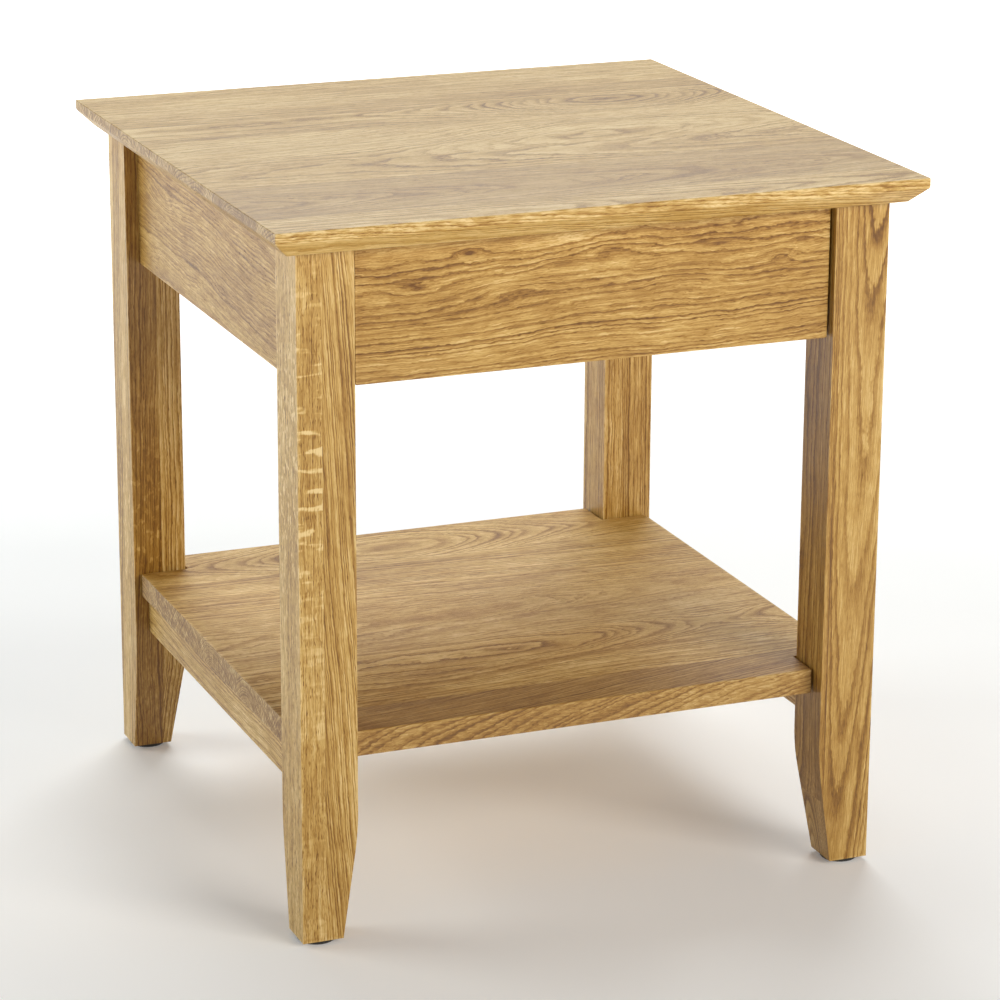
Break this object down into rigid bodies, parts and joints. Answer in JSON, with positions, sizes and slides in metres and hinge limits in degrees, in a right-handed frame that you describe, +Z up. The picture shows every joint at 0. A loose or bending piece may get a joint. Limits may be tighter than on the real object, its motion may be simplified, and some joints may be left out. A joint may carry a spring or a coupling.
{
  "type": "side table with drawer",
  "caption": "Square solid-oak side table with tapered legs, a low shelf notched round the legs, and a handleless drawer on ball-bearing slides under a bevelled top.",
  "frame": {"origin": "on the floor under the middle of the table top", "axes": "+Z up, -Y towards the drawer's front, +X to the right as seen from the front"},
  "size_m": [0.465, 0.46, 0.5],
  "materials": {
    "oiled_oak": "oiled, satin",
    "inner_oak": "sanded, lightly oiled",
    "zinc_steel": "bright zinc",
    "screw_steel": "zinc plated",
    "ball_steel": "polished",
    "dark_plastic": "matt"
  },
  "bodies": {
    "table": {"table_top": "oiled_oak", "leg_front_left": "oiled_oak", "leg_front_right": "oiled_oak", "leg_rear_left": "oiled_oak", "leg_rear_right": "oiled_oak", "side_apron_left": "oiled_oak", "side_apron_right": "oiled_oak", "rear_apron": "oiled_oak", "front_top_rail": "inner_oak", "slide_spacer_left": "inner_oak", "slide_spacer_right": "inner_oak", "lower_rail_left": "oiled_oak", "lower_rail_right": "oiled_oak", "shelf": "oiled_oak", "glide_front_left": "dark_plastic", "glide_front_right": "dark_plastic", "glide_rear_left": "dark_plastic", "glide_rear_right": "dark_plastic", "slide_cabinet_channel_left": "zinc_steel", "slide_cabinet_channel_right": "zinc_steel", "top_bracket_left_front": "zinc_steel", "top_bracket_left_rear": "zinc_steel", "top_bracket_right_front": "zinc_steel", "top_bracket_right_rear": "zinc_steel", "top_screw_left_front": "screw_steel", "top_screw_left_rear": "screw_steel", "top_screw_right_front": "screw_steel", "top_screw_right_rear": "screw_steel", "apron_screw_left_front": "screw_steel", "apron_screw_left_rear": "screw_steel", "apron_screw_right_front": "screw_steel", "apron_screw_right_rear": "screw_steel", "shelf_screw_left_front": "screw_steel", "shelf_screw_left_rear": "screw_steel", "shelf_screw_right_front": "screw_steel", "shelf_screw_right_rear": "screw_steel", "slide_screw_left_front": "screw_steel", "slide_screw_left_rear": "screw_steel", "slide_screw_right_front": "screw_steel", "slide_screw_right_rear": "screw_steel"},
    "drawer": {"drawer_front": "oiled_oak", "drawer_box_front": "inner_oak", "drawer_side_left": "inner_oak", "drawer_side_right": "inner_oak", "drawer_box_back": "inner_oak", "drawer_bottom": "inner_oak", "slide_drawer_channel_left": "zinc_steel", "slide_drawer_channel_right": "zinc_steel", "runner_screw_left_front": "screw_steel", "runner_screw_left_rear": "screw_steel", "runner_screw_right_front": "screw_steel", "runner_screw_right_rear": "screw_steel", "front_screw_left_lower": "screw_steel", "front_screw_left_upper": "screw_steel", "front_screw_right_lower": "screw_steel", "front_screw_right_upper": "screw_steel"},
    "ball_retainer_left": {"ball_retainer_left": "ball_steel"},
    "ball_retainer_right": {"ball_retainer_right": "ball_steel"}
  },
  "joints": [
    {"name": "drawer_slide", "type": "slide", "parent": "table", "child": "drawer", "axis": [0, -1, 0], "range_m": [0, 0.26]},
    {"name": "retainer_slide_left", "type": "slide", "parent": "table", "child": "ball_retainer_left", "axis": [0, -1, 0], "range_m": [0, 0.13]},
    {"name": "retainer_slide_right", "type": "slide", "parent": "table", "child": "ball_retainer_right", "axis": [0, -1, 0], "range_m": [0, 0.13]}
  ],
  "couplings": [
    {"joint": "retainer_slide_left", "follows": "drawer_slide", "ratio": 0.5},
    {"joint": "retainer_slide_right", "follows": "drawer_slide", "ratio": 0.5}
  ]
}
